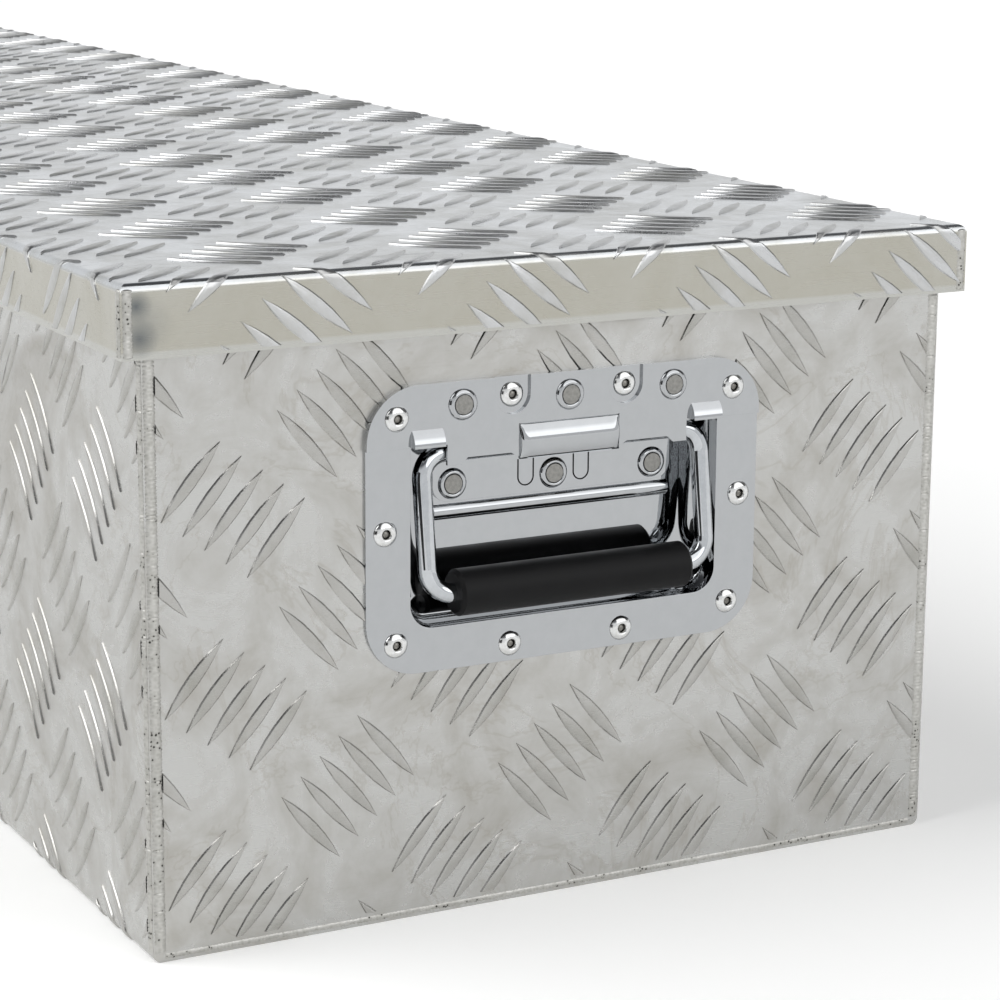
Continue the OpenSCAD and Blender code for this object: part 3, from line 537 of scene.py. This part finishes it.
bottomFold = [((0, wallFold["radius"] * (1 - share * math.pi / 2), 0), (0, 1, 0))
              for share in (0, 0.34, 0.67)]
for side, name in ((-1, "front"), (1, "rear")):
    wallBars = layGroups(frontPattern, (-endFace, 0, endFace, rimHeight), bottomFold, wallCuts,
                         lambda x, y: False, wrapWall(side))
    if side > 0:  # the rear wall is laid as a mirror image
        bmesh.ops.reverse_faces(wallBars, faces=wallBars.faces[:])
    makePiece(name + "_tread_bars", wallBars, "bars", "tub", "bars")
print("wall tread bars laid")

handlePlate = {"inset": 9 * mm}
holdLow = Vector((plateLow.y, plateLow.z)) + Vector((1, 1)) * handlePlate["inset"]
holdHigh = Vector((plateHigh.y, plateHigh.z)) - Vector((1, 1)) * handlePlate["inset"]


def underPlate(x, y):
    # a bar whose middle lies here was pressed flat under the handle's plate
    return holdLow.x < x < holdHigh.x and holdLow.y < y < holdHigh.y


def endCuts(x, y):
    # the end's outline, and the edge of the handle's hidden area where a bar runs into it
    edge = sideFace - wallFold["endTrim"]
    cuts = [((edge, 0, 0), (1, 0, 0)), ((-edge, 0, 0), (-1, 0, 0)),
            ((0, rimHeight - wallFold["rimTrim"], 0), (0, 1, 0)),
            ((0, wallFold["endTrim"], 0), (0, -1, 0))]
    past = {(1, 0): x - holdHigh.x, (-1, 0): holdLow.x - x,
            (0, 1): y - holdHigh.y, (0, -1): holdLow.y - y}
    side, gap = max(past.items(), key=lambda item: item[1])
    near = (holdHigh.x, holdHigh.y, 0) if side[0] + side[1] > 0 else (holdLow.x, holdLow.y, 0)
    reach = bar["length"] / 2
    beside = max(past[(1, 0)], past[(-1, 0)]) < reach and max(past[(0, 1)], past[(0, -1)]) < reach
    if beside:
        cuts.append((near, (-side[0], -side[1], 0)))
    return cuts


for side, name in ((1, "right"), (-1, "left")):
    def onEnd(co, side=side):
        return Vector((side * (endFace + co.z), side * co.x, co.y))

    endBars = layGroups(endPattern, (-sideFace, 0, sideFace, rimHeight), [], endCuts, underPlate, onEnd)
    makePiece(name + "_end_tread_bars", endBars, "bars", "tub", "bars")
print("end tread bars laid")

pressing = {"edge": 0.42 * mm, "mouth": 1.1 * mm, "turn": 35, "flatTurn": 0.6, "segments": 2}
plateMiddle = Vector((0, (plateLow.y + plateHigh.y) / 2, (plateLow.z + plateHigh.z) / 2))
plateThick = 1.2 * mm


dishArea = {"half": 63 * mm, "tall": 38 * mm}


def isMouth(edge, side):
    # an edge where the plate's front face turns down into the dish
    flat = side * (endFace + plateThick)
    onFront = all(abs(v.co.x - flat) < 0.02 * mm for v in edge.verts)
    middle = (edge.verts[0].co + edge.verts[1].co) / 2
    inDish = abs(middle.y) < dishArea["half"] and abs(middle.z - plateMiddle.z) < dishArea["tall"]
    return onFront and inDish


coverArea = {"least": 2.35 * mm, "most": 2.45 * mm, "half": 20.05 * mm, "middle": 171 * mm, "tall": 7 * mm}


def isCover(face, side):
    # the plain bump over the spring, which a smoother shell stands for
    middle = face.calc_center_median()
    heights = [side * v.co.x - endFace for v in face.verts]
    raised = min(heights) > coverArea["least"] and max(heights) > coverArea["most"]
    return raised and abs(middle.y) < coverArea["half"] and \
        abs(middle.z - coverArea["middle"]) < coverArea["tall"]


cover = {"half": 20.4 * mm, "low": 22.0 * mm, "high": 34.7 * mm, "middle": 28 * mm,
         "radius": 9.6 * mm, "sunk": 7.0 * mm, "ease": 3.4 * mm, "thick": 0.8 * mm}


def makeCover(side, name):
    # the pressed bump over the spring: a fine grid raised to a round back, its ends eased down
    bm = bmesh.new()
    bmesh.ops.create_grid(bm, x_segments=48, y_segments=20, size=0.5)
    for v in bm.verts:
        across, up = 2 * v.co.x, 2 * v.co.y
        run = cover["half"] * across
        rise = cover["low"] + (cover["high"] - cover["low"]) * (up + 1) / 2
        back = math.sqrt(max(0.0, cover["radius"] ** 2 - (rise - cover["middle"]) ** 2)) - cover["sunk"]
        fade = min(1.0, (1 - abs(across)) * cover["half"] / cover["ease"])
        eased = math.sqrt(max(0.0, 1 - (1 - fade) ** 2))
        out = 2 * plateThick + max(back, 0.0) * eased
        v.co = Vector((side * (endFace + out), side * run, plateMiddle.z + rise))
    bmesh.ops.recalc_face_normals(bm, faces=bm.faces[:])
    bm.faces.ensure_lookup_table()
    if bm.faces[len(bm.faces) // 2].normal.x * side < 0:
        bmesh.ops.reverse_faces(bm, faces=bm.faces[:])
    piece = makePiece("spring_cover_" + name, bm, "chrome", "tub", "turned")
    shell = piece.modifiers.new("sheetThickness", "SOLIDIFY")
    shell.thickness = cover["thick"]
    shell.offset = -1


def softenPressing(node, side):
    # a copy of a CAD pressing, merged into whole faces, with its edges eased as tumbling leaves them
    bm = bmesh.new()
    bm.from_mesh(nodes[node].data)
    bmesh.ops.remove_doubles(bm, verts=bm.verts[:], dist=weldGap)
    if node.startswith("handle_strap"):
        proud = [f for f in bm.faces if isCover(f, side)]
        bmesh.ops.delete(bm, geom=proud, context="FACES")
    bmesh.ops.dissolve_limit(bm, angle_limit=math.radians(pressing["flatTurn"]),
                             verts=bm.verts[:], edges=bm.edges[:])
    sharp = [e for e in bm.edges
             if e.is_manifold and e.calc_face_angle() > math.radians(pressing["turn"])]
    mouth = [e for e in sharp if node.startswith("handle_dish") and isMouth(e, side)]
    rest = [e for e in sharp if e not in mouth]
    bmesh.ops.bevel(bm, geom=rest, offset=pressing["edge"], offset_type="OFFSET", affect="EDGES",
                    segments=pressing["segments"], profile=0.5, material=-1, clamp_overlap=True)
    mouth = [e for e in mouth if e.is_valid]
    if mouth:
        bmesh.ops.bevel(bm, geom=mouth, offset=pressing["mouth"], offset_type="OFFSET", affect="EDGES",
                        segments=4, profile=0.5, material=-1, clamp_overlap=True)
    piece = makePiece(node + "_pressing", bm, "chrome", "tub", "pressings")
    weighted = piece.modifiers.new("evenShading", "WEIGHTED_NORMAL")
    weighted.keep_sharp = True
    weighted.weight = 80
    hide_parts(node)


def spinShape(profile, steps):
    # a turned shape from its outline of (radius, height) in millimetres
    bm = bmesh.new()
    verts = [bm.verts.new((radius * mm, 0, height * mm)) for radius, height in profile]
    edges = [bm.edges.new(pair) for pair in zip(verts, verts[1:])]
    bmesh.ops.spin(bm, geom=verts + edges, cent=(0, 0, 0), axis=(0, 0, 1), angle=2 * math.pi,
                   steps=steps, use_merge=True)
    bmesh.ops.remove_doubles(bm, verts=bm.verts[:], dist=0.001 * mm)
    bmesh.ops.recalc_face_normals(bm, faces=bm.faces[:])
    return bm


def spread(shape, seats, facing):
    # copies of a shape standing on several seats, all facing one way
    bm = bmesh.new()
    scratch = bpy.data.meshes.new("scratch")
    turn = Vector(facing).to_track_quat("Z", "Y").to_matrix().to_4x4()
    for seat in seats:
        one = shape.copy()
        bmesh.ops.transform(one, matrix=Matrix.Translation(seat) @ turn, verts=one.verts[:])
        one.to_mesh(scratch)
        bm.from_mesh(scratch)
        one.free()
    bpy.data.meshes.remove(scratch)
    return bm


riveting = {
    "low": [(68, -40.5), (-68, -40.5), (72, 0), (-72, 0), (22.8, -45.3), (-22.8, -45.3),
            (22.8, 45.3), (-22.8, 45.3)],
    "onStrap": [(68, 40.5), (-68, 40.5)],
    "strapSolid": [(-42.5, 43.5), (0, 43.5), (42.5, 43.5)],
    "stripSolid": [(-40.7, 12.75), (0, 12.75), (40.7, 12.75)],
    "dishDepth": 10.5 * mm,
}
popHead = spinShape([(4.6, -0.1), (4.6, 0.12), (4.25, 0.62), (3.6, 1.2), (2.9, 1.55), (2.3, 1.62),
                     (1.85, 1.45), (1.6, 1.0), (1.52, 0.2), (1.5, -0.4)], 28)
mandrel = spinShape([(1.32, -0.6), (1.32, 0.3), (0.95, 0.62), (0.5, 0.78), (0.0, 0.82)], 16)
collar = spinShape([(5.7, -0.1), (5.66, 0.18), (5.2, 0.78), (4.6, 1.22), (4.15, 1.30), (3.75, 1.12),
                    (3.5, 0.75), (3.44, 0.2), (3.42, -0.1)], 36)

def makeTabSlitShade(look):
    # the cut outline of a lanced tab, drawn as a thin dark strip that paints the shade in the slit: a narrow
    # strip run down, round a half turn and up again
    bm = bmesh.new()
    inner, outer = look["radius"] - look["width"] / 2, look["radius"] + look["width"] / 2
    outline = [(inner, 0), (outer, 0), (outer, look["proud"]), (inner, look["proud"])]
    verts = [bm.verts.new((x, look["leg"], z)) for x, z in outline]
    edges = [bm.edges.new((verts[k - 1], verts[k])) for k in range(4)]
    for run in (-look["leg"], 0, look["leg"]):
        if run:
            grown = bmesh.ops.extrude_edge_only(bm, edges=edges)["geom"]
            moved = [g for g in grown if isinstance(g, bmesh.types.BMVert)]
            bmesh.ops.translate(bm, verts=moved, vec=(0, run, 0))
        else:
            grown = bmesh.ops.spin(bm, geom=edges + moved, cent=(0, 0, 0), axis=(0, 0, 1), angle=-math.pi,
                                   steps=look["steps"])["geom_last"]
        edges = [g for g in grown if isinstance(g, bmesh.types.BMEdge)]
    bmesh.ops.holes_fill(bm, edges=[e for e in bm.edges if e.is_boundary])
    bmesh.ops.recalc_face_normals(bm, faces=bm.faces[:])
    return bm


tab = {"radius": 3.1 * mm, "width": 0.5 * mm, "proud": 0.12 * mm, "leg": 6.6 * mm, "steps": 14,
       "places": [(-11.3, 12.4), (11.3, 12.4)]}
tabSlitShade = makeTabSlitShade(tab)

for side, name in ((1, "right"), (-1, "left")):
    for node in ("handle_dish_", "handle_strap_", "handle_bracket_"):
        softenPressing(node + name, side)
    makeCover(side, name)

    def seats(points, out):
        # places on the handle: across and up from the plate's middle, and out from the end's face
        return [Vector((side * (endFace + out), y * mm, plateMiddle.z + z * mm)) for y, z in points]

    popSeats = seats(riveting["low"], plateThick) + seats(riveting["onStrap"], 2 * plateThick)
    heads = makePiece("pop_rivet_heads_" + name, spread(popHead, popSeats, (side, 0, 0)),
                      "popRivet", "tub", "turned")
    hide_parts("handle_rivets_" + name)
    makePiece("rivet_mandrels_" + name, spread(mandrel, popSeats, (side, 0, 0)),
              "spring", "tub", "turned")
    collarSeats = seats(riveting["strapSolid"], 2 * plateThick) \
        + seats(riveting["stripSolid"], plateThick - riveting["dishDepth"])
    makePiece("rivet_collars_" + name, spread(collar, collarSeats, (side, 0, 0)),
              "chrome", "tub", "turned")
    # the tab cuts drawn as thin strips of the black rubber finish: a dark sheet that paints the shade in each
    # slit
    tabSlitShadeSeats = seats(tab["places"], plateThick - riveting["dishDepth"] - tab["proud"] / 6)
    makePiece("strip_tabs_" + name, spread(tabSlitShade, tabSlitShadeSeats, (side, 0, 0)),
              "grip", "tub", "turned")
print("handle pressings eased and riveted")

seam = {"pitch": 1.3 * mm, "rings": (0.95, 1.01, 1.0), "jitter": 0.02, "wander": 0.04 * mm, "sides": 16,
        "endSize": 0.75}


def runBead(bm, start, end, radius, dice):
    # one seam: a grid rolled into a tube whose rings swell and wander like the ripples of a weld
    along = end - start
    ripples = max(2, round(along.length / seam["pitch"]))
    ringCount = ripples * len(seam["rings"])
    turn = along.to_track_quat("Z", "Y").to_matrix()
    tube = bmesh.new()
    bmesh.ops.create_grid(tube, x_segments=ringCount, y_segments=seam["sides"], size=0.5)
    swells, drifts = [], []
    for k in range(ringCount + 1):
        endEase = seam["endSize"] if k in (0, ringCount) else 1
        ripple = seam["rings"][k % len(seam["rings"])]
        swells.append(endEase * ripple * (1 + dice.uniform(-1, 1) * seam["jitter"]))
        drifts.append(Vector([dice.uniform(-1, 1) * seam["wander"] for axis in range(3)]))
    for v in tube.verts:
        k = round((v.co.x + 0.5) * ringCount)
        angle = 2 * math.pi * (v.co.y + 0.5)
        size = radius * swells[k]
        ring = turn @ Vector((size * math.cos(angle), size * math.sin(angle), 0))
        v.co = start + along * (k / ringCount) + ring + drifts[k]
    bmesh.ops.remove_doubles(tube, verts=tube.verts[:], dist=weldGap)
    bmesh.ops.holes_fill(tube, edges=[e for e in tube.edges if e.is_boundary])
    bmesh.ops.recalc_face_normals(tube, faces=tube.faces[:])
    scratch = bpy.data.meshes.new("scratch")
    tube.to_mesh(scratch)
    bm.from_mesh(scratch)
    tube.free()
    bpy.data.meshes.remove(scratch)


# seams down the upright corners and along the foot of each end: bead size, and how far inside the faces
upright = {"radius": 3.3 * mm, "inset": 2.5 * mm, "low": 3.3 * mm, "high": 1.5 * mm}
footSeam = {"radius": 1.9 * mm, "inset": 1.6 * mm, "height": 2.1 * mm, "short": 4 * mm}
dice = random.Random(7)
bodySeams = bmesh.new()
for endSide in (-1, 1):
    for wall in (-1, 1):
        inset = upright["inset"]
        corner = Vector((endSide * (endFace - inset), wall * (sideFace - inset), 0))
        runBead(bodySeams, corner + Vector((0, 0, upright["low"])),
                corner + Vector((0, 0, rimHeight - upright["high"])), upright["radius"], dice)
    low = Vector((endSide * (endFace - footSeam["inset"]), 0, footSeam["height"]))
    reach = Vector((0, sideFace - footSeam["short"], 0))
    runBead(bodySeams, low - reach, low + reach, footSeam["radius"], dice)
lidSeam = {"radius": 2.9 * mm, "inset": 2.3 * mm, "low": 0.6 * mm, "high": 1.6 * mm}
lidSeams = bmesh.new()
for endSide in (-1, 1):
    for wall in (-1, 1):
        corner = Vector((endSide * (lidHigh.x - lidSeam["inset"]), wall * (lidHigh.y - lidSeam["inset"]), 0))
        runBead(lidSeams, corner + Vector((0, 0, lidLow.z + lidSeam["low"])),
                corner + Vector((0, 0, lidHigh.z - lidSeam["high"])), lidSeam["radius"], dice)
lidSeams = makePiece("lid_corner_weld_beads", lidSeams, "weld", "lid", "turned")
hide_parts("lid_welds")
bodySeams = makePiece("seam_weld_beads", bodySeams, "weld", "tub", "turned")
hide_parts("body_welds")
print("weld beads run")

shot = {"place": (1.503, -0.500, 0.386), "aim": (0.610, -0.0265, 0.150), "roll": 0.36, "lens": 105.9}
cameraData = bpy.data.cameras.new("camera")
cameraData.lens = shot["lens"]
cameraData.sensor_width = 36
cameraData.clip_start = 0.01
camera = bpy.data.objects.new("camera", cameraData)
camera.location = shot["place"]
aim = (Vector(shot["aim"]) - Vector(shot["place"])).to_track_quat("-Z", "Y").to_matrix()
camera.rotation_euler = (aim @ Matrix.Rotation(math.radians(shot["roll"]), 3, "Z")).to_euler()
bpy.context.scene.collection.objects.link(camera)
bpy.context.scene.camera = camera

studio = {"floorSize": 60, "floorGlow": 0.15, "worldStrength": 1.0,
          "sky": [(0.0, "#F3F4F5"), (0.40, "#F0F1F2"), (0.56, "#76777A"), (0.90, "#4A4B4D")]}
floorMesh = bmesh.new()
bmesh.ops.create_grid(floorMesh, x_segments=1, y_segments=1, size=studio["floorSize"] / 2)
floorData = bpy.data.meshes.new("floor")
floorMesh.to_mesh(floorData)
floorMesh.free()
floor = bpy.data.objects.new("floor", floorData)
bpy.context.scene.collection.objects.link(floor)
paper, paperShader, paperPlace = startMaterial("matteFloor", {
    "Roughness": 0.9, "Emission Color": (1, 1, 1, 1), "Emission Strength": studio["floorGlow"]})
paperTone = addNode(paper, "TexNoise", {"Scale": 3.0}, {"Vector": paperPlace})
paperColour = addNode(paper, "ValToRGB", {"stops": [(0.2, "#F8F8F7"), (0.8, "#FAFAF9")]},
                      {"Fac": paperTone.outputs["Fac"]}).outputs[0]
paper.node_tree.links.new(paperColour, paperShader.inputs["Base Color"])
floorData.materials.append(paper)

world = bpy.data.worlds.new("softStudio")
bpy.context.scene.world = world
world.use_nodes = True
world.node_tree.nodes.clear()
skyPlace = addNode(world, "TexCoord").outputs["Generated"]
skyHeight = addNode(world, "SeparateXYZ", links={0: skyPlace}).outputs["Z"]
skyColour = addNode(world, "ValToRGB", {"stops": studio["sky"]}, {"Fac": skyHeight}).outputs[0]
glow = addNode(world, "Background", {"Strength": studio["worldStrength"]}, {"Color": skyColour}).outputs[0]
addNode(world, "OutputWorld", links={"Surface": glow})

# broad suns: where each shines from, its strength, and how wide it looks in degrees
suns = [
    {"name": "keyLight", "from": (-0.35, -1.0, 1.05), "power": 1.9, "width": 52},
    {"name": "fillLight", "from": (1.0, 0.45, 0.95), "power": 1.25, "width": 64},
]
for look in suns:
    lamp = bpy.data.lights.new(look["name"], "SUN")
    lamp.energy = look["power"]
    lamp.angle = math.radians(look["width"])
    sun = bpy.data.objects.new(look["name"], lamp)
    sun.rotation_euler = Vector(look["from"]).to_track_quat("Z", "Y").to_euler()
    bpy.context.scene.collection.objects.link(sun)
# black cards that only reflections see: they draw the dark lines along polished edges
cards = [{"name": "sideCard", "place": (1.25, -1.5, 0.15), "size": 0.55},
         {"name": "backCard", "place": (0.9, 1.6, 0.9), "size": 0.35}]
for look in cards:
    cardMesh = bmesh.new()
    toBox = Vector((0.61, 0, 0.14)) - Vector(look["place"])  # towards the middle of the near end
    aimCard = toBox.to_track_quat("Z", "Y").to_matrix().to_4x4()
    bmesh.ops.create_grid(cardMesh, x_segments=1, y_segments=1, size=look["size"],
                          matrix=Matrix.Translation(look["place"]) @ aimCard)
    cardData = bpy.data.meshes.new(look["name"])
    cardMesh.to_mesh(cardData)
    cardMesh.free()
    cardData.materials.append(finishes["blackPaint"])
    card = bpy.data.objects.new(look["name"], cardData)
    card.visible_camera = False
    card.visible_diffuse = False
    card.visible_shadow = False
    bpy.context.scene.collection.objects.link(card)
bpy.context.scene.view_settings.view_transform = "Standard"
print("camera, floor and lights set")
